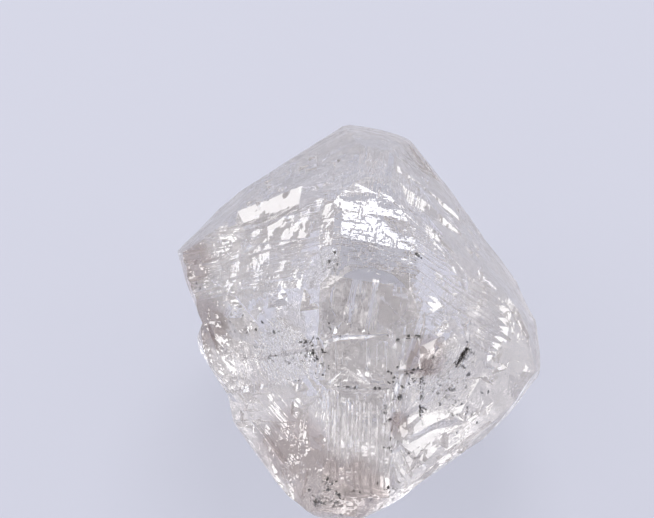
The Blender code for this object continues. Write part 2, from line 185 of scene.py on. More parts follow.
# Terraces cut into the front: the two ends of the outer edge of each, and its width, in millimetres. Each is
# turned about that edge until it mirrors one of the softboxes, as the brightest steps of a stone do.
TERRACES = (
    ((-2.50, 2.08), (-1.20, 2.62), 0.18),
    ((-2.25, 1.58), (-0.85, 2.00), 0.12),
    ((-2.75, 0.98), (-1.26, 1.22), 0.08),
    ((-2.60, 0.72), (-1.30, 0.98), 0.04),
    ((0.76, 2.55), (2.00, 1.68), 0.13),
    ((1.00, 2.00), (2.25, 1.10), 0.10),
    ((1.25, 1.78), (2.72, 0.50), 0.07),
    ((1.50, 0.95), (3.00, 0.40), 0.10),
    ((-2.10, -1.50), (-0.85, -1.24), 0.03),
    ((-2.15, -1.66), (-0.85, -1.38), 0.05),
    ((-2.30, -1.82), (-1.30, -1.66), 0.05),
    ((-2.40, -2.02), (-1.30, -1.92), 0.07),
    ((0.75, -3.58), (2.55, -2.10), 0.04),
    ((2.45, -0.10), (2.95, -0.42), 0.10),
    ((2.90, 0.40), (3.35, -0.40), 0.08),
    ((0.60, -2.60), (0.95, -3.10), 0.12),
    ((1.40, -2.50), (2.00, -2.20), 0.06),
)
TERRACE_SKEW = (0.3, 1.4)  # how far the ends of a terrace slant inwards, so that it fades out to a point
# Grooves scored in the front: the two ends, the width and the depth of each, in millimetres.
GROOVES = (
    ((-0.60, -0.36), (0.60, -0.33), 0.025, 0.020),
    ((-0.62, -1.40), (0.58, -1.45), 0.030, 0.025),
    ((-0.40, -1.52), (0.30, -1.50), 0.020, 0.015),
    ((1.15, -1.17), (1.15, -2.02), 0.050, 0.070),
    ((0.75, -0.37), (1.14, -0.37), 0.045, 0.060),
    ((0.66, -1.06), (1.20, -1.02), 0.045, 0.050),
    ((1.50, -1.15), (2.12, -0.50), 0.050, 0.070),
    ((1.84, -0.98), (2.07, -0.62), 0.110, 0.140),
    ((0.66, -1.10), (0.52, -3.10), 0.060, 0.070),
    ((-1.55, -0.70), (-0.80, -0.60), 0.060, 0.060),
    ((-1.20, -0.35), (-0.78, -0.95), 0.050, 0.060),
    ((-2.45, -0.85), (-1.50, -0.72), 0.040, 0.050),
    ((0.60, -2.42), (1.20, -2.98), 0.040, 0.050),
    ((0.80, -3.14), (1.16, -2.64), 0.040, 0.050),
)
# Dark flecks under the surface: the middle of each cluster, how far it spreads and how many it holds.
FLECKS = (
    ((-0.69, -3.28), 0.06, 26),
    ((-0.92, -3.56), 0.14, 30),
    ((-0.30, -3.56), 0.25, 24),
    ((1.88, -0.88), 0.07, 22),
    ((2.03, -0.68), 0.07, 22),
    ((1.55, -1.40), 0.36, 110),
    ((0.85, -1.12), 0.16, 26),
    ((0.70, -1.60), 0.05, 12),
    ((-0.92, -0.60), 0.16, 24),
    ((-1.10, -1.05), 0.24, 28),
    ((-1.75, -0.62), 0.18, 26),
    ((-2.20, -0.35), 0.25, 20),
    ((-3.30, 0.55), 0.14, 12),
    ((-0.65, 1.10), 0.12, 20),
    ((-0.60, -0.30), 0.08, 8),
    ((0.58, -3.40), 0.10, 16),
    ((1.10, 1.20), 0.03, 3),
    ((-0.42, 3.15), 0.03, 2),
)
# Flakes in a line, as in a crack: its two ends, how far they stray from it and how many there are.
FLECK_LINES = (
    ((1.15, -1.17), (1.15, -2.02), 0.010, 34),
    ((0.75, -0.37), (1.14, -0.37), 0.008, 18),
    ((0.66, -1.04), (1.30, -1.00), 0.018, 18),
    ((1.84, -0.98), (2.10, -0.60), 0.030, 50),
    ((0.62, -1.15), (0.52, -2.60), 0.014, 40),
    ((-0.60, -0.36), (0.60, -0.33), 0.008, 14),
    ((-0.62, -1.36), (0.58, -1.41), 0.012, 28),
    ((-1.20, -0.45), (-0.78, -0.95), 0.060, 20),
    ((0.60, -2.42), (1.20, -2.98), 0.010, 22),
    ((0.80, -3.14), (1.16, -2.64), 0.010, 14),
    ((-0.95, -3.72), (-0.40, -3.66), 0.050, 36),
)
FLECK_SIZES = (0.007, 0.028)
FLECK_DEPTHS = (0.03, 0.12)
FLECK_MOTTLE = 0.02  # spacing of the light and dull spots on a flake, in millimetres
# Weathering: how far it moves the surface and over what distance, both in millimetres.
WEATHER = ((0.035, 0.9), (0.018, 0.38))
WEATHER_SEED = 5  # without a seed the noise would differ each time that the script runs
CELL = 0.2 * MM  # the faces are split this fine before they are bent
FIRM_BASE = 0.4  # the weathering fades out below this height, so that the stone lies flat
GROUP = 16  # how many layers are joined to each other before they are joined to the stone

# Patches that are etched rough, and patches stained brown, by the middle and the radius of each, in millimetres.
ETCHED = (
    ((-1.6, -0.7), 0.7),
    ((1.6, -1.2), 0.7),
    ((-0.9, -3.6), 0.5),
    ((-0.7, 1.1), 0.3),
    ((-0.9, 0.8), 0.3),
)
STAINED = (
    ((-1.35, -2.60), 0.9),
    ((-0.90, -3.30), 0.8),
    ((-0.10, -3.45), 0.8),
    ((-3.45, 1.00), 0.7),
    ((-3.10, -0.10), 0.6),
    ((1.20, -0.75), 0.5),
    ((0.65, -2.10), 0.3),
)
# The two parts of the clear window: the middle of each, and how far it reaches, in millimetres.
WINDOW_PARTS = (
    ((-0.02, -0.90), (0.68, 1.3, 1.3)),
    ((0.12, 0.35), (0.90, 0.7, 0.7)),
)
GRIT = 0.09  # spacing of the etched grit, in millimetres, as coarse as it needs to show
STRIA_PITCH = 0.11  # across and along the finest striae, in millimetres
STRIA_LENGTH = 2.2

# The light tent: its softboxes, each by the way to it, its width and height as seen from the stone, and how
# bright it is, where white paper in the tent is about 1; and its darker opening.
LAMP_DISTANCE = 0.25
SOFTBOXES = {
    "far_softbox": ((0.10, 0.75, 0.65), math.radians(32), math.radians(22), 4.4),
    "left_softbox": ((-0.85, 0.40, 0.42), math.radians(44), math.radians(20), 2.6),
    "left_near_softbox": ((-0.80, -0.55, 0.20), math.radians(14), math.radians(14), 3.6),
    "right_softbox": ((0.91, 0.32, 0.22), math.radians(44), math.radians(18), 3.0),
    "right_near_softbox": ((0.80, -0.55, 0.18), math.radians(14), math.radians(14), 2.2),
    "near_softbox": ((-0.10, -0.93, 0.20), math.radians(56), math.radians(14), 2.0),
}
TENT_OPENING = (0.0, -0.41, 0.91)
OPENING_HEART = math.radians(22)
OPENING_EDGE = math.radians(44)
OPENING_LEVEL = 0.32
TENT_LEVEL = 0.92

# How three planes are taken to meet in a corner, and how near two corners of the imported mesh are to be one.
NEARLY_PARALLEL = 1e-3
GRAZING = 0.05  # a facet turned further from the eye than this cosine doesn't show
ROUNDING = 1e-6 * MM
CORNER_DECIMALS = 8
FLAT_ANGLE = math.radians(0.1)
WELDS = (1e-5 * MM, 3e-6 * MM, 3e-5 * MM, 1e-4 * MM, 3e-4 * MM)  # tried in turn, until the mesh is closed
SNAP = 1e-4 * MM


def linear(hex_colour):
    """An sRGB hex colour as linear red, green, blue and alpha."""
    levels = [int(hex_colour[start : start + 2], 16) / 255 for start in (1, 3, 5)]
    return (*[level / 12.92 if level <= 0.04045 else ((level + 0.055) / 1.055) ** 2.4 for level in levels], 1.0)


class DiamondRelief(PropertyGroup):
    seed: IntProperty(name="Seed", description="Which of the many possible crystals grows", default=5)
    step_lift: FloatProperty(
        name="Step height",
        description="How far the fine steps stand out of a rounded edge",
        default=0.04 * MM,
        unit="LENGTH",
        precision=6,
    )
    hillocks: IntProperty(name="Plates", description="Small triangular growth plates on each face", default=26)
    pits: IntProperty(name="Etch pits", description="Triangular etch pits on each face", default=18)
    pit_depth: FloatProperty(
        name="Pit depth",
        description="Depth of a middling etch pit",
        default=0.02 * MM,
        unit="LENGTH",
        precision=6,
    )
    striae: IntProperty(name="Striae", description="Fine upright ridges on the window", default=24)
    feathers: IntProperty(name="Feathers", description="Thin cleavage cracks inside the stone", default=14)


class DiamondFinish(PropertyGroup):
    tint: FloatVectorProperty(
        name="Tint",
        description="Colour that light keeps on its way through the stone",
        subtype="COLOR",
        size=4,
        default=linear("#dccdc2"),
    )
    tint_depth: FloatProperty(
        name="Tint density",
        description="How much light the stone takes up, per metre",
        default=15.0,
    )
    skin: FloatVectorProperty(
        name="Skin",
        description="Colour of the clean skin",
        subtype="COLOR",
        size=4,
        default=linear("#fefdfd"),
    )
    stain: FloatVectorProperty(
        name="Stain",
        description="Colour of the skin where iron has stained it",
        subtype="COLOR",
        size=4,
        default=linear("#b9aaa6"),
    )
    fleck: FloatVectorProperty(
        name="Fleck",
        description="Colour of the dark flecks in the stone",
        subtype="COLOR",
        size=4,
        default=linear("#4c4643"),
    )
    clear: FloatProperty(
        name="Clear roughness",
        description="Roughness of the glassy facets",
        subtype="FACTOR",
        default=0.0,
    )
    relief: FloatProperty(
        name="Striae height",
        description="Height of the striae and grit that are too fine for the mesh",
        default=0.03 * MM,
        unit="LENGTH",
        precision=6,
    )
    frosted: FloatProperty(
        name="Frosted roughness",
        description="Roughness of the etched skin",
        subtype="FACTOR",
        default=0.09,
    )


class DiamondStudio(PropertyGroup):
    rise: FloatProperty(
        name="Camera rise",
        description="How far above the horizon the camera looks from",
        default=math.radians(66),
        subtype="ANGLE",
    )
    picture_width: FloatProperty(
        name="Picture width",
        description="Width of the view at the stone",
        default=13.24 * MM,
        unit="LENGTH",
        precision=6,
    )
    floor: FloatVectorProperty(
        name="Floor colour",
        description="Colour that the floor shows",
        subtype="COLOR",
        size=4,
        default=linear("#d3d5e4"),
    )
    dome: FloatVectorProperty(
        name="Tent colour",
        description="Colour of the white light tent round the stone",
        subtype="COLOR",
        size=4,
        default=linear("#d0cdd0"),
    )


def crystal_axes():
    return np.array(Euler((0, AXES_LEAN, AXES_TURN), "YXZ").to_matrix())


def unit(direction):
    return np.asarray(direction, float) / np.linalg.norm(direction)


def in_world(direction):
    return crystal_axes() @ unit(direction)


def sight(rise):
    """The picture's right, its up and the way to the eye, in the world."""
    right = np.array((1.0, 0.0, 0.0))
    up = np.array((0.0, math.sin(rise), math.cos(rise)))
    to_eye = np.array((0.0, -math.cos(rise), math.sin(rise)))
    return right, up, to_eye


def facet_at(place):
    """The facet of the crystal's core that shows at this place in the view from in front, and the point there."""
    right, up, to_eye = sight(SIGHT_RISE)
    point = (right * place[0] + up * place[1]) * MM
    showing = []
    for group in (FACES, RIDGES, CORNERS):
        for direction, distance in group.items():
            normal = in_world(direction)
            if normal @ to_eye > GRAZING:
                showing.append(((distance - normal @ point) / (normal @ to_eye), normal))
    rise, normal = min(showing, key=lambda facet: facet[0])
    return normal, CENTRE + point + to_eye * rise


def front_of_solid():
    """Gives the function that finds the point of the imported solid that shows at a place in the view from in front."""
    right, up, to_eye = sight(SIGHT_RISE)
    shape = bmesh.new()
    shape.from_mesh(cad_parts[SOLID].data)
    surface = BVHTree.FromBMesh(shape)
    shape.free()

    def shown(place):
        start = CENTRE + (right * place[0] + up * place[1]) * MM + to_eye * CLEAR_OF_STONE
        hit = surface.ray_cast(Vector(start), Vector(-to_eye))[0]
        return None if hit is None else np.array(hit)

    return shown


def new_object(name, mesh):
    made = bpy.data.objects.new(name, mesh)
    bpy.context.scene.collection.objects.link(made)
    return made


def convex_body(planes):
    """The convex body inside these planes, each a unit normal and a distance from the centre, if there is any."""
    normals = np.array([normal for normal, _ in planes])
    distances = np.array([distance for _, distance in planes])
    triples = np.array(list(combinations(range(len(planes)), 3)))
    systems = normals[triples]
    solvable = np.abs(np.linalg.det(systems)) > NEARLY_PARALLEL
    points = np.linalg.solve(systems[solvable], distances[triples[solvable]][..., None])[..., 0]
    inside = (points @ normals.T <= distances + ROUNDING).all(axis=1)
    corners = np.unique(np.round(points[inside], CORNER_DECIMALS), axis=0)
    if len(corners) < 4:
        return None
    body = bmesh.new()
    for corner in corners:
        body.verts.new(corner + CENTRE)
    bmesh.ops.convex_hull(body, input=body.verts)
    bmesh.ops.dissolve_limit(body, angle_limit=FLAT_ANGLE, verts=body.verts, edges=body.edges)
    bmesh.ops.recalc_face_normals(body, faces=body.faces)
    mesh = bpy.data.meshes.new("layer")
    body.to_mesh(mesh)
    body.free()
    return new_object("layer", mesh)


def wandering(direction, rng, wander=0.010):
    """This direction of the crystal in the world, a little astray, as no natural facet is quite true."""
    return unit(in_world(direction) + np.array([rng.gauss(0, wander) for _ in range(3)]))


def neighbours(face):
    """The three octahedral faces that share an edge with this one."""
    turns = np.ones((3, 3), int) - 2 * np.eye(3, dtype=int)
    return [tuple(turn) for turn in turns * face]


def slanting(towards, face, slope):
    """A wall on a face: its direction in the crystal's axes, and how it takes its distances along and off it."""
    wall = np.asarray(towards) + unit(face) * slope
    return wall, np.linalg.norm(wall)


def along(face):
    """The three directions in a face that point to its own edges."""
    return [unit(unit(near) - unit(face) * NEIGHBOUR_COSINE) for near in neighbours(face)]


def scattered(rng, spread):
    """How far a place on a face lies along each of those three directions, from the face's middle."""
    first, second = rng.uniform(-spread, spread), rng.uniform(-spread, spread)
    return first, second, -first - second


def fine_steps(rng, relief):
    for first, second, ridge, steps in STEPPED:
        cosine = float(unit(first) @ unit(ridge))
        for step in range(steps):
            share = (step + rng.uniform(0.1, 0.9)) / steps
            together = 2 * cosine * RIDGES[ridge] + relief.step_lift * rng.uniform(0.3, 2.4)
            reach = {first: FACES[first] - share * (FACES[first] + FACES[second] - together)}
            reach[second] = together - reach[first]
            planes = []
            for face, distance in FACES.items():
                ends = distance - rng.uniform(0.1, 1.6) * MM
                planes.append((wandering(face, rng), reach.get(face, ends)))
            for other, distance in RIDGES.items():
                if other != ridge:
                    planes.append((in_world(other), distance - rng.uniform(0.0, 0.08) * MM))
            for corner, distance in CORNERS.items():
                planes.append((in_world(corner), distance - 0.01 * MM))
            yield planes


def hillocks(rng, relief):
    for face, distance in FACES.items():
        for _ in range(relief.hillocks if face[2] > 0 else relief.hillocks // 3):
            top = distance + rng.uniform(0.006, 0.04) * MM
            size = rng.uniform(0.06, 0.6) * MM
            planes = [(wandering(face, rng), top), (-in_world(face), 0.4 * MM - distance)]
            for towards, middle in zip(along(face), scattered(rng, 1.4 * MM)):
                slope = rng.uniform(0.1, 1.5)
                wall, length = slanting(towards, face, slope)
                reach = middle + size * rng.uniform(0.5, 2.2) + slope * distance
                planes.append((wandering(wall, rng), reach / length))
            for ridge, reach in RIDGES.items():
                planes.append((in_world(ridge), reach - rng.uniform(0.0, 0.1) * MM))
            yield planes


def etch_pits(rng, relief):
    """Trigons: shallow triangular pits, turned half round from the face that they are etched in."""
    for face, distance in FACES.items():
        for _ in range(relief.pits if face[2] > 0 else relief.pits // 3):
            depth = relief.pit_depth * rng.uniform(0.3, 1.6)
            size = rng.uniform(0.015, 0.09) * MM
            slope = -rng.uniform(0.2, 0.8)
            planes = [(-wandering(face, rng), depth - distance), (in_world(face), distance + 0.2 * MM)]
            for towards, middle in zip(along(face), scattered(rng, 1.4 * MM)):
                wall, length = slanting(-towards, face, slope)
                planes.append((in_world(wall), (size - middle + slope * distance) / length))
            yield planes


def window_striae(rng, relief):
    """Fine ridges side by side down the window, upright as seen from in front."""
    out = in_world(NEAR_RIDGE)
    right = sight(SIGHT_RISE)[0]
    across = unit(right - out * (out @ right))
    upwards = np.cross(out, across)
    for share, feet, tops, lifts in WINDOW_STRIAE:
        for _ in range(round(share * relief.striae)):
            place = rng.uniform(-0.64, 0.60) * MM
            crest = RIDGES[NEAR_RIDGE] + (WINDOW_LIFT + rng.uniform(*lifts)) * MM
            planes = [
                (-out, 0.3 * MM - crest),
                (upwards, rng.uniform(*tops) * MM),
                (-upwards, -rng.uniform(*feet) * MM),
            ]
            for side in (-1, +1):
                flank = unit(out * rng.uniform(0.6, 1.6) + across * side)
                planes.append((flank, float(flank @ (out * crest + across * place))))
            yield planes


def feathers(rng, relief):
    """Thin cleavage cracks inside the stone, each along one of the octahedral planes."""
    for _ in range(relief.feathers):
        face = rng.choice(list(FACES))
        middle = rng.uniform(0.6, 1.9) * MM
        gap = 0.004 * MM
        planes = [(in_world(face), middle + gap), (-in_world(face), gap - middle)]
        for towards, place in zip(along(face), scattered(rng, 0.7 * MM)):
            for side in (-1, +1):
                planes.append((wandering(towards * side, rng, 0.2), side * place + rng.uniform(0.15, 0.5) * MM))
        yield planes


def mirroring(line, facet):
    """The way nearest to this facet's that a strip along this line faces when it mirrors a softbox into the eye.

    It is None where no softbox can be mirrored.
    """
    to_eye = sight(SIGHT_RISE)[2]
    nearest = None
    for towards, *_ in SOFTBOXES.values():
        half = unit(unit(towards) + to_eye)
        facing = unit(half - line * (half @ line))
        mirrored = 2 * (facing @ to_eye) * facing - to_eye
        if mirrored @ unit(towards) > MIRRORS and (nearest is None or facing @ facet > nearest @ facet):
            nearest = facing
    return nearest


def ledges(rng, relief):
    """The plates outlined in LEDGES, each on the facet that lies under it."""
    right, up, to_eye = sight(SIGHT_RISE)
    shown = front_of_solid()
    for lift, outline in LEDGES:
        middle = np.mean(outline, axis=0)
        hits = [hit for hit in map(shown, [*outline, middle]) if hit is not None]
        normal = unit(facet_at(middle)[0] + np.array([rng.gauss(0, LEDGE_TILT) for _ in range(3)]))
        top = float(np.mean([normal @ (hit - CENTRE) for hit in hits])) + lift * MM
        planes = [(normal, top), (-normal, LEDGE_DEPTH - top)]
        corners = [(right * across + up * high) * MM for across, high in outline]
        heart = (right * middle[0] + up * middle[1]) * MM
        edge = [corner + to_eye * ((top - normal @ corner) / (normal @ to_eye)) for corner in corners]
        for start, end in zip(edge, edge[1:] + edge[:1]):
            wall = unit(np.cross(to_eye, end - start))
            if wall @ (heart - start) > 0:
                wall = -wall
            leaning = unit(wall + normal * rng.uniform(0.2, 1.1))
            facing = mirroring(unit(end - start), leaning)
            if facing is not None and facing @ wall > STEEP and facing @ normal > STEEP:
                leaning = facing
            planes.append((leaning, float(leaning @ start)))
        yield planes


def terraces(rng, relief):
    """The cuts listed in TERRACES, each a tread that mirrors a softbox and walls that open towards the eye."""
    to_eye = sight(SIGHT_RISE)[2]
    shown = front_of_solid()
    for start, end, width in TERRACES:
        first, last = shown(start) - CENTRE, shown(end) - CENTRE
        line = unit(last - first)
        facet = facet_at(np.mean((start, end), axis=0))[0]
        tread = mirroring(line, facet)
        if tread is None:
            tread = unit(to_eye - line * (to_eye @ line))
        inwards = unit(np.cross(to_eye, line))
        if inwards @ (first + last) > 0:
            inwards = -inwards
        planes = [(-tread, float(-tread @ first)), (to_eye, CLEAR_OF_STONE)]
        walls = (
            (inwards, first + inwards * width * MM),
            (-inwards, first - inwards * width * MM),
            (unit(line + inwards * rng.uniform(*TERRACE_SKEW)), last),
            (unit(inwards * rng.uniform(*TERRACE_SKEW) - line), first),
        )
        for wall, foot in walls:
            leaning = unit(wall - to_eye * rng.uniform(0.05, 0.25))
            planes.append((leaning, float(leaning @ foot)))
        yield planes


def grooves(rng, relief):
    """The V-shaped cuts listed in GROOVES, as cutters that stand clear of the surface."""
    shown = front_of_solid()
    for start, end, width, depth in GROOVES:
        normal = facet_at(np.mean((start, end), axis=0))[0]
        first, last = shown(start) - CENTRE, shown(end) - CENTRE
        line = unit(last - first)
        side = unit(np.cross(normal, line))
        out = np.cross(line, side)
        bottom = out @ first - depth * MM
        planes = [(line, float(line @ last)), (-line, float(-line @ first)), (out, bottom + 3 * depth * MM)]
        for sign in (-1, +1):
            flank = unit(side * sign * depth - out * width / 2)
            planes.append((flank, float(flank @ (first - out * depth * MM))))
        yield planes


def bay_cutters(rng, relief):
    """The wedges cut into the left side, from their two sides out to well clear of the stone."""
    right, up, to_eye = sight(SIGHT_RISE)
    for point, bearings in BAYS:
        planes = []
        for bearing in bearings:
            turn = math.radians(bearing)
            outwards = right * math.cos(turn) + up * math.sin(turn)
            offset = (point[0] * math.cos(turn) + point[1] * math.sin(turn)) * MM
            planes.append((-outwards, -offset))
        for outwards in (up, -up, -right, to_eye, -to_eye):
            planes.append((outwards, CLEAR_OF_STONE))
        yield planes


def join(stone, operation, operand):
    step = stone.modifiers.new(operation.lower(), "BOOLEAN")
    step.operation = operation
    step.solver = "MANIFOLD"
    step.object = operand


def settle(stone):
    """Makes the joined shape the stone's own mesh and clears the bodies that were joined to it."""
    bpy.context.view_layer.update()
    mesh = bpy.data.meshes.new_from_object(stone.evaluated_get(bpy.context.evaluated_depsgraph_get()))
    operands = [step.object for step in stone.modifiers]
    stone.modifiers.clear()
    stone.data = mesh
    for operand in operands:
        bpy.data.objects.remove(operand)


def gathered(layers):
    """The layers' bodies, joined to each other in groups."""
    bodies = [body for body in map(convex_body, layers) if body]
    for start in range(0, len(bodies), GROUP):
        first, *others = bodies[start : start + GROUP]
        for other in others:
            join(first, "UNION", other)
        settle(first)
        yield first


def split_along(shape, faces, axis, low, high):
    """Splits these faces along one axis, at every whole CELL between low and high, by halves."""
    if high - low < 2:
        return
    middle = (low + high) // 2
    level = middle * CELL
    edges = {edge for face in faces for edge in face.edges}
    corners = {vertex for face in faces for vertex in face.verts}
    cut = bmesh.ops.bisect_plane(
        shape,
        geom=[*faces, *edges, *corners],
        dist=SNAP,
        plane_co=[level if each == axis else 0.0 for each in range(3)],
        plane_no=[float(each == axis) for each in range(3)],
    )
    halves = [], []
    for part in set(cut["geom"]):
        if isinstance(part, bmesh.types.BMFace):
            halves[part.calc_center_median()[axis] > level].append(part)
    split_along(shape, halves[0], axis, low, middle)
    split_along(shape, halves[1], axis, middle, high)


def weather(stone):
    """Bends the stone's faces and edges a little, as slow etching leaves them, except the window and the base."""
    window = [(Vector(facet_at(middle)[1]) / MM, reach) for middle, reach in WINDOW_PARTS]
    noise.seed_set(WEATHER_SEED)
    shape = bmesh.new()
    shape.from_mesh(stone.data)
    for axis in range(3):
        levels = [vertex.co[axis] / CELL for vertex in shape.verts]
        split_along(shape, shape.faces[:], axis, math.floor(min(levels)), math.ceil(max(levels)))
    bmesh.ops.triangulate(shape, faces=shape.faces)
    for vertex in shape.verts:
        place = vertex.co / MM
        fade = min(1.0, place.z / FIRM_BASE)
        for middle, reach in window:
            apart = Vector([each / wide for each, wide in zip(place - middle, reach)]).length
            fade *= min(1.0, max(0.1, 3 * (apart - 0.8)))
        for reach, size in WEATHER:
            vertex.co += noise.noise_vector(place / size) * reach * MM * fade
    shape.to_mesh(stone.data)
    shape.free()


def solid_copy():
    """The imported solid's mesh as one closed body, and its convex outline."""
    for weld in WELDS:
        shape = bmesh.new()
        shape.from_mesh(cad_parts[SOLID].data)
        bmesh.ops.remove_doubles(shape, verts=shape.verts, dist=weld)
        if all(edge.is_manifold for edge in shape.edges):
            break
    else:
        raise RuntimeError("the packed solid's mesh is not closed")
    mesh = bpy.data.meshes.new("crystal")
    shape.to_mesh(mesh)
    hull = bmesh.new()
    for vertex in shape.verts:
        hull.verts.new(vertex.co)
    shape.free()
    bmesh.ops.convex_hull(hull, input=hull.verts)
    loose = [vertex for vertex in hull.verts if not vertex.link_faces]
    bmesh.ops.delete(hull, geom=loose, context="VERTS")
    bmesh.ops.recalc_face_normals(hull, faces=hull.faces)
    outline = bpy.data.meshes.new("outline")
    hull.to_mesh(outline)
    hull.free()
    return new_object("crystal", mesh), new_object("outline", outline)


def add_node(tree, kind, settings, inputs):
    """Adds one node. An input takes a value, or is linked where it is given another node's output."""
    made = tree.nodes.new(kind)
    for name, value in settings.items():
        setattr(made, name, value)
    for name, value in inputs.items():
        if isinstance(value, bpy.types.NodeSocket):
            tree.links.new(value, made.inputs[name])
        else:
            made.inputs[name].default_value = value
    return made


def striae_height(tree, crystal, across):
    """Striae that run square to one crystal axis, near the ridges that lie square to it: a height."""
    stretched = [STRIA_LENGTH] * 3
    stretched[across] = STRIA_PITCH
    scaled = add_node(
        tree,
        "ShaderNodeVectorMath",
        {"operation": "DIVIDE"},
        {0: crystal, 1: stretched},
    )
    lines = add_node(
        tree,
        "ShaderNodeTexNoise",
        {},
        {"Vector": scaled.outputs["Vector"], "Scale": 1.0, "Detail": 2.0, "Roughness": 0.65},
    )
    parts = add_node(tree, "ShaderNodeSeparateXYZ", {}, {0: crystal})
    far = add_node(tree, "ShaderNodeMath", {"operation": "ABSOLUTE"}, {0: parts.outputs[across]})
    near = add_node(
        tree,
        "ShaderNodeMapRange",
        {"interpolation_type": "SMOOTHSTEP"},
        {"Value": far.outputs[0], "From Min": 0.3, "From Max": 1.5, "To Min": 1.0, "To Max": 0.0},
    )
    return add_node(
        tree, "ShaderNodeMath", {"operation": "MULTIPLY"}, {0: lines.outputs["Fac"], 1: near.outputs["Result"]}
    ).outputs[0]


def patch_mask(tree, millimetres, wander, patches):
    """How much of a patch each place has, from 0 to 1, with an outline that wanders."""
    reach = None
    for middle, radius in patches:
        apart = add_node(
            tree,
            "ShaderNodeVectorMath",
            {"operation": "DISTANCE"},
            {0: millimetres, 1: Vector(facet_at(middle)[1]) / MM},
        )
        share = add_node(
            tree, "ShaderNodeMath", {"operation": "DIVIDE"}, {0: apart.outputs["Value"], 1: radius}
        ).outputs[0]
        if reach is not None:
            share = add_node(tree, "ShaderNodeMath", {"operation": "MINIMUM"}, {0: reach, 1: share}).outputs[0]
        reach = share
    blurred = add_node(tree, "ShaderNodeMath", {"operation": "ADD"}, {0: reach, 1: wander}).outputs[0]
    return add_node(
        tree,
        "ShaderNodeMapRange",
        {"interpolation_type": "SMOOTHSTEP"},
        {"Value": blurred, "From Min": 1.1, "From Max": 1.7, "To Min": 1.0, "To Max": 0.0},
    ).outputs["Result"]


def outside_window(tree, millimetres):
    """Nearly 0 on the clear window and 1 away from it."""
    nearest = None
    for middle, reach in WINDOW_PARTS:
        apart = add_node(
            tree,
            "ShaderNodeVectorMath",
            {"operation": "SUBTRACT"},
            {0: millimetres, 1: Vector(facet_at(middle)[1]) / MM},
        )
        share = add_node(
            tree, "ShaderNodeVectorMath", {"operation": "DIVIDE"}, {0: apart.outputs["Vector"], 1: reach}
        )
        length = add_node(
            tree, "ShaderNodeVectorMath", {"operation": "LENGTH"}, {0: share.outputs["Vector"]}
        ).outputs["Value"]
        if nearest is not None:
            length = add_node(tree, "ShaderNodeMath", {"operation": "MINIMUM"}, {0: nearest, 1: length}).outputs[0]
        nearest = length
    return add_node(
        tree,
        "ShaderNodeMapRange",
        {"interpolation_type": "SMOOTHSTEP"},
        {"Value": nearest, "From Min": 0.85, "From Max": 1.1, "To Min": 0.08, "To Max": 1.0},
    ).outputs["Result"]


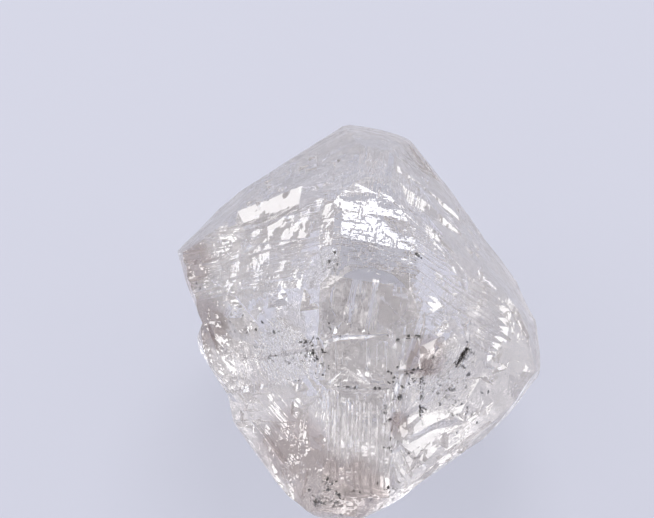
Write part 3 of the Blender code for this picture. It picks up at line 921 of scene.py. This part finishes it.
def natural_diamond(finish):
    """Natural diamond as it grew and was etched.

    Its IOR of 2.417 makes it mirror a sixth of the light that falls on it and turn back most of what is
    inside, so it shows bright lines and patches over grey. Etching leaves parts of the skin frosted.
    """
    material = bpy.data.materials.new("natural_diamond_etched")
    material.use_nodes = True
    tree = material.node_tree
    tree.nodes.clear()
    place = add_node(tree, "ShaderNodeTexCoord", {}, {})
    millimetres = add_node(
        tree, "ShaderNodeVectorMath", {"operation": "SCALE"}, {0: place.outputs["Object"], "Scale": 1 / MM}
    ).outputs[0]
    crystal = add_node(
        tree,
        "ShaderNodeMapping",
        {"vector_type": "TEXTURE"},
        {
            "Vector": millimetres,
            "Location": Vector(CENTRE) / MM,
            "Rotation": Matrix(crystal_axes()).to_euler("XYZ"),
        },
    ).outputs[0]
    patches = add_node(
        tree,
        "ShaderNodeTexNoise",
        {},
        {"Vector": millimetres, "Scale": 0.9, "Detail": 4.0, "Roughness": 0.6},
    )
    skin = add_node(
        tree,
        "ShaderNodeMapRange",
        {"interpolation_type": "SMOOTHSTEP"},
        {
            "Value": patches.outputs["Fac"],
            "From Min": 0.45,
            "From Max": 0.68,
            "To Min": finish.clear,
            "To Max": finish.frosted,
        },
    )
    etched = patch_mask(tree, millimetres, patches.outputs["Fac"], ETCHED)
    stained = patch_mask(tree, millimetres, patches.outputs["Fac"], STAINED)
    colour = add_node(
        tree,
        "ShaderNodeMix",
        {"data_type": "RGBA"},
        {"Factor": stained, "A": finish.skin, "B": finish.stain},
    )
    grit = add_node(
        tree,
        "ShaderNodeTexNoise",
        {},
        {"Vector": millimetres, "Scale": 1 / GRIT, "Detail": 2.0, "Roughness": 0.7},
    )
    gritty = add_node(
        tree, "ShaderNodeMath", {"operation": "MULTIPLY"}, {0: grit.outputs["Fac"], 1: etched}
    ).outputs[0]
    height = add_node(tree, "ShaderNodeMath", {"operation": "MULTIPLY"}, {0: gritty, 1: 2.0}).outputs[0]
    worn = add_node(
        tree,
        "ShaderNodeMapRange",
        {"interpolation_type": "SMOOTHSTEP"},
        {"Value": patches.outputs["Fac"], "From Min": 0.40, "From Max": 0.58, "To Min": 0.15, "To Max": 1.0},
    )
    for across in range(3):
        height = add_node(
            tree,
            "ShaderNodeMath",
            {"operation": "MULTIPLY_ADD"},
            {0: striae_height(tree, crystal, across), 1: worn.outputs["Result"], 2: height},
        ).outputs[0]
    waves = add_node(
        tree,
        "ShaderNodeTexNoise",
        {},
        {"Vector": millimetres, "Scale": 2.2, "Detail": 1.0, "Roughness": 0.5},
    )
    rippled = add_node(
        tree, "ShaderNodeMath", {"operation": "MULTIPLY_ADD"}, {0: waves.outputs["Fac"], 1: 1.5, 2: height}
    )
    calmed = add_node(
        tree,
        "ShaderNodeMath",
        {"operation": "MULTIPLY"},
        {0: rippled.outputs[0], 1: outside_window(tree, millimetres)},
    )
    relief = add_node(
        tree,
        "ShaderNodeBump",
        {},
        {"Strength": 1.0, "Distance": finish.relief, "Height": calmed.outputs[0]},
    )
    shader = add_node(
        tree,
        "ShaderNodeBsdfPrincipled",
        {},
        {
            "Base Color": colour.outputs["Result"],
            "IOR": 2.417,
            "Transmission Weight": 1.0,
            "Roughness": skin.outputs["Result"],
            "Normal": relief.outputs["Normal"],
        },
    )
    absorption = add_node(
        tree,
        "ShaderNodeVolumeAbsorption",
        {},
        {"Color": finish.tint, "Density": finish.tint_depth},
    )
    add_node(
        tree,
        "ShaderNodeOutputMaterial",
        {},
        {"Surface": shader.outputs["BSDF"], "Volume": absorption.outputs["Volume"]},
    )
    return material


def graphite(finish):
    """Graphite, as the thin flakes that diamond turns to along its cracks: dark grey and faintly metallic."""
    material = bpy.data.materials.new("graphite_flakes")
    material.use_nodes = True
    tree = material.node_tree
    tree.nodes.clear()
    place = add_node(tree, "ShaderNodeTexCoord", {}, {})
    mottle = add_node(
        tree,
        "ShaderNodeTexNoise",
        {},
        {"Vector": place.outputs["Object"], "Scale": 1 / (FLECK_MOTTLE * MM), "Detail": 1.0},
    )
    shine = add_node(
        tree,
        "ShaderNodeMapRange",
        {},
        {"Value": mottle.outputs["Fac"], "To Min": 0.35, "To Max": 0.75},
    )
    shader = add_node(
        tree,
        "ShaderNodeBsdfPrincipled",
        {},
        {"Base Color": finish.fleck, "Metallic": 0.2, "Roughness": shine.outputs["Result"]},
    )
    add_node(tree, "ShaderNodeOutputMaterial", {}, {"Surface": shader.outputs["BSDF"]})
    return material


def white_acrylic(studio):
    """Opal acrylic sheet, cast and lit from behind, which the stone lies on: even, pale and almost shadowless."""
    material = bpy.data.materials.new("opal_acrylic_cast")
    material.use_nodes = True
    tree = material.node_tree
    tree.nodes.clear()
    shader = add_node(
        tree,
        "ShaderNodeBsdfPrincipled",
        {},
        {
            "Base Color": [channel * 0.4 for channel in studio.floor[:3]] + [1.0],
            "Roughness": 0.6,
            "Emission Color": studio.floor,
            "Emission Strength": 0.655,
        },
    )
    add_node(tree, "ShaderNodeOutputMaterial", {}, {"Surface": shader.outputs["BSDF"]})
    return material


class DIAMOND_OT_crystal(Operator):
    """Grow the stone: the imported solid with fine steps, plates, striae, etch pits and feathers"""

    bl_idname = "diamond.crystal"
    bl_label = "Grow Crystal"

    def execute(self, context):
        relief = context.scene.diamond_relief
        rng = random.Random(relief.seed)
        stone, outline = solid_copy()
        for layers in (fine_steps, hillocks, window_striae, ledges):
            for group in gathered(layers(rng, relief)):
                join(stone, "UNION", group)
        for layers in (etch_pits, feathers, terraces, grooves, bay_cutters):
            for group in gathered(layers(rng, relief)):
                join(stone, "DIFFERENCE", group)
        join(stone, "INTERSECT", outline)
        plain = len(stone.data.polygons)
        settle(stone)
        if len(stone.data.polygons) < 1.3 * plain:
            raise RuntimeError("the crystal's layers did not join to the packed solid")
        weather(stone)
        stone.data.materials.clear()
        stone.data.materials.append(natural_diamond(context.scene.diamond_finish))
        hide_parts(SOLID)
        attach(stone, BODY)
        return {"FINISHED"}


class DIAMOND_OT_flecks(Operator):
    """Add the dark flecks under the skin of the stone's front"""

    bl_idname = "diamond.flecks"
    bl_label = "Add Flecks"

    def execute(self, context):
        rng = random.Random(context.scene.diamond_relief.seed)
        to_eye = sight(SIGHT_RISE)[2]
        shown = front_of_solid()
        shape = bmesh.new()
        clusters = [(middle, middle, spread, count) for middle, spread, count in FLECKS]
        for first, last, spread, count in clusters + list(FLECK_LINES):
            for _ in range(count):
                share = rng.random()
                hit = shown([a + (b - a) * share + rng.gauss(0, spread) for a, b in zip(first, last)])
                if hit is not None:
                    heart = hit - to_eye * rng.uniform(*FLECK_DEPTHS) * MM
                    self.add_flake(shape, rng, heart, rng.uniform(*FLECK_SIZES) * MM)
        mesh = bpy.data.meshes.new("flecks")
        shape.to_mesh(mesh)
        shape.free()
        flecks = new_object("flecks", mesh)
        flecks.data.materials.append(graphite(context.scene.diamond_finish))
        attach(flecks, BODY)
        return {"FINISHED"}

    def add_flake(self, shape, rng, heart, size):
        """An irregular flat flake of nine corners."""
        turn = Euler([rng.uniform(0, math.tau) for _ in range(3)]).to_matrix()
        corners = []
        for _ in range(9):
            offset = Vector((rng.gauss(0, 1), rng.gauss(0, 1), rng.gauss(0, 0.35))) * size
            corners.append(shape.verts.new(Vector(heart) + turn @ offset))
        hull = bmesh.ops.convex_hull(shape, input=corners)
        bmesh.ops.delete(shape, geom=[each for each in hull["geom_interior"] if each.is_valid], context="VERTS")


class DIAMOND_OT_studio(Operator):
    """Lay out the studio: the lit floor, the white tent, the lamps and the camera"""

    bl_idname = "diamond.studio"
    bl_label = "Set Up Studio"

    def execute(self, context):
        studio = context.scene.diamond_studio
        self.lay_floor(studio)
        self.hang_tent(context.scene, studio)
        self.set_lamps()
        self.place_camera(context.scene, studio)
        scene = context.scene
        scene.view_settings.view_transform = "Standard"
        scene.cycles.max_bounces = 18
        scene.cycles.transmission_bounces = 18
        scene.cycles.glossy_bounces = 18
        return {"FINISHED"}

    def lay_floor(self, studio):
        half = 0.4
        shape = bmesh.new()
        bmesh.ops.create_circle(shape, cap_ends=True, segments=64, radius=half)
        bmesh.ops.translate(shape, verts=shape.verts, vec=(0, 0, -0.01 * MM))
        mesh = bpy.data.meshes.new("floor")
        shape.to_mesh(mesh)
        shape.free()
        floor = new_object("floor", mesh)
        floor.data.materials.append(white_acrylic(studio))

    def hang_tent(self, scene, studio):
        world = bpy.data.worlds.new("light_tent")
        scene.world = world
        world.use_nodes = True
        tree = world.node_tree
        tree.nodes.clear()
        direction = add_node(tree, "ShaderNodeTexCoord", {}, {})
        opening = add_node(
            tree,
            "ShaderNodeVectorMath",
            {"operation": "DOT_PRODUCT"},
            {0: direction.outputs["Generated"], 1: TENT_OPENING},
        )
        shade = add_node(
            tree,
            "ShaderNodeMapRange",
            {"interpolation_type": "SMOOTHSTEP"},
            {
                "Value": opening.outputs["Value"],
                "From Min": math.cos(OPENING_EDGE),
                "From Max": math.cos(OPENING_HEART),
                "To Min": TENT_LEVEL,
                "To Max": OPENING_LEVEL,
            },
        )
        tent = add_node(
            tree, "ShaderNodeBackground", {}, {"Color": studio.dome, "Strength": shade.outputs["Result"]}
        )
        add_node(tree, "ShaderNodeOutputWorld", {}, {"Surface": tent.outputs["Background"]})

    def set_lamps(self):
        for name, (towards, width, height, radiance) in SOFTBOXES.items():
            data = bpy.data.lights.new(name, "AREA")
            data.shape = "RECTANGLE"
            data.size = 2 * LAMP_DISTANCE * math.tan(width / 2)
            data.size_y = 2 * LAMP_DISTANCE * math.tan(height / 2)
            data.energy = radiance * math.pi * data.size * data.size_y
            lamp = bpy.data.objects.new(name, data)
            lamp.location = Vector(unit(towards)) * LAMP_DISTANCE
            lamp.rotation_euler = (-lamp.location).to_track_quat("-Z", "Y").to_euler()
            bpy.context.scene.collection.objects.link(lamp)

    def place_camera(self, scene, studio):
        right, up, to_eye = sight(studio.rise)
        aim = CENTRE - right * 0.709 * MM + up * 1.154 * MM
        data = bpy.data.cameras.new("camera")
        data.lens = 300
        data.sensor_width = 36
        data.clip_start = 1 * MM
        distance = studio.picture_width / data.sensor_width * data.lens
        camera = bpy.data.objects.new("camera", data)
        camera.location = Vector(aim + to_eye * distance)
        camera.rotation_euler = Vector(to_eye).to_track_quat("Z", "Y").to_euler()
        scene.collection.objects.link(camera)
        scene.camera = camera


class DIAMOND_PT_panel(Panel):
    """Rough diamond"""

    bl_label = "Rough Diamond"
    bl_space_type = "VIEW_3D"
    bl_region_type = "UI"
    bl_category = "Diamond"

    def draw(self, context):
        for group in (context.scene.diamond_relief, context.scene.diamond_finish, context.scene.diamond_studio):
            box = self.layout.box()
            for name in group.__annotations__:
                box.prop(group, name)
        for operator in OPERATORS:
            self.layout.operator(operator.bl_idname)


GROUPS = (DiamondRelief, DiamondFinish, DiamondStudio)
OPERATORS = (DIAMOND_OT_crystal, DIAMOND_OT_flecks, DIAMOND_OT_studio)
CLASSES = GROUPS + OPERATORS + (DIAMOND_PT_panel,)


def register():
    for each in CLASSES:
        bpy.utils.register_class(each)
    bpy.types.Scene.diamond_relief = PointerProperty(type=DiamondRelief)
    bpy.types.Scene.diamond_finish = PointerProperty(type=DiamondFinish)
    bpy.types.Scene.diamond_studio = PointerProperty(type=DiamondStudio)


def unregister():
    del bpy.types.Scene.diamond_studio
    del bpy.types.Scene.diamond_finish
    del bpy.types.Scene.diamond_relief
    for each in reversed(CLASSES):
        bpy.utils.unregister_class(each)


def main():
    register()
    bpy.ops.diamond.crystal()
    bpy.ops.diamond.flecks()
    bpy.ops.diamond.studio()


if __name__ == "__main__":
    main()
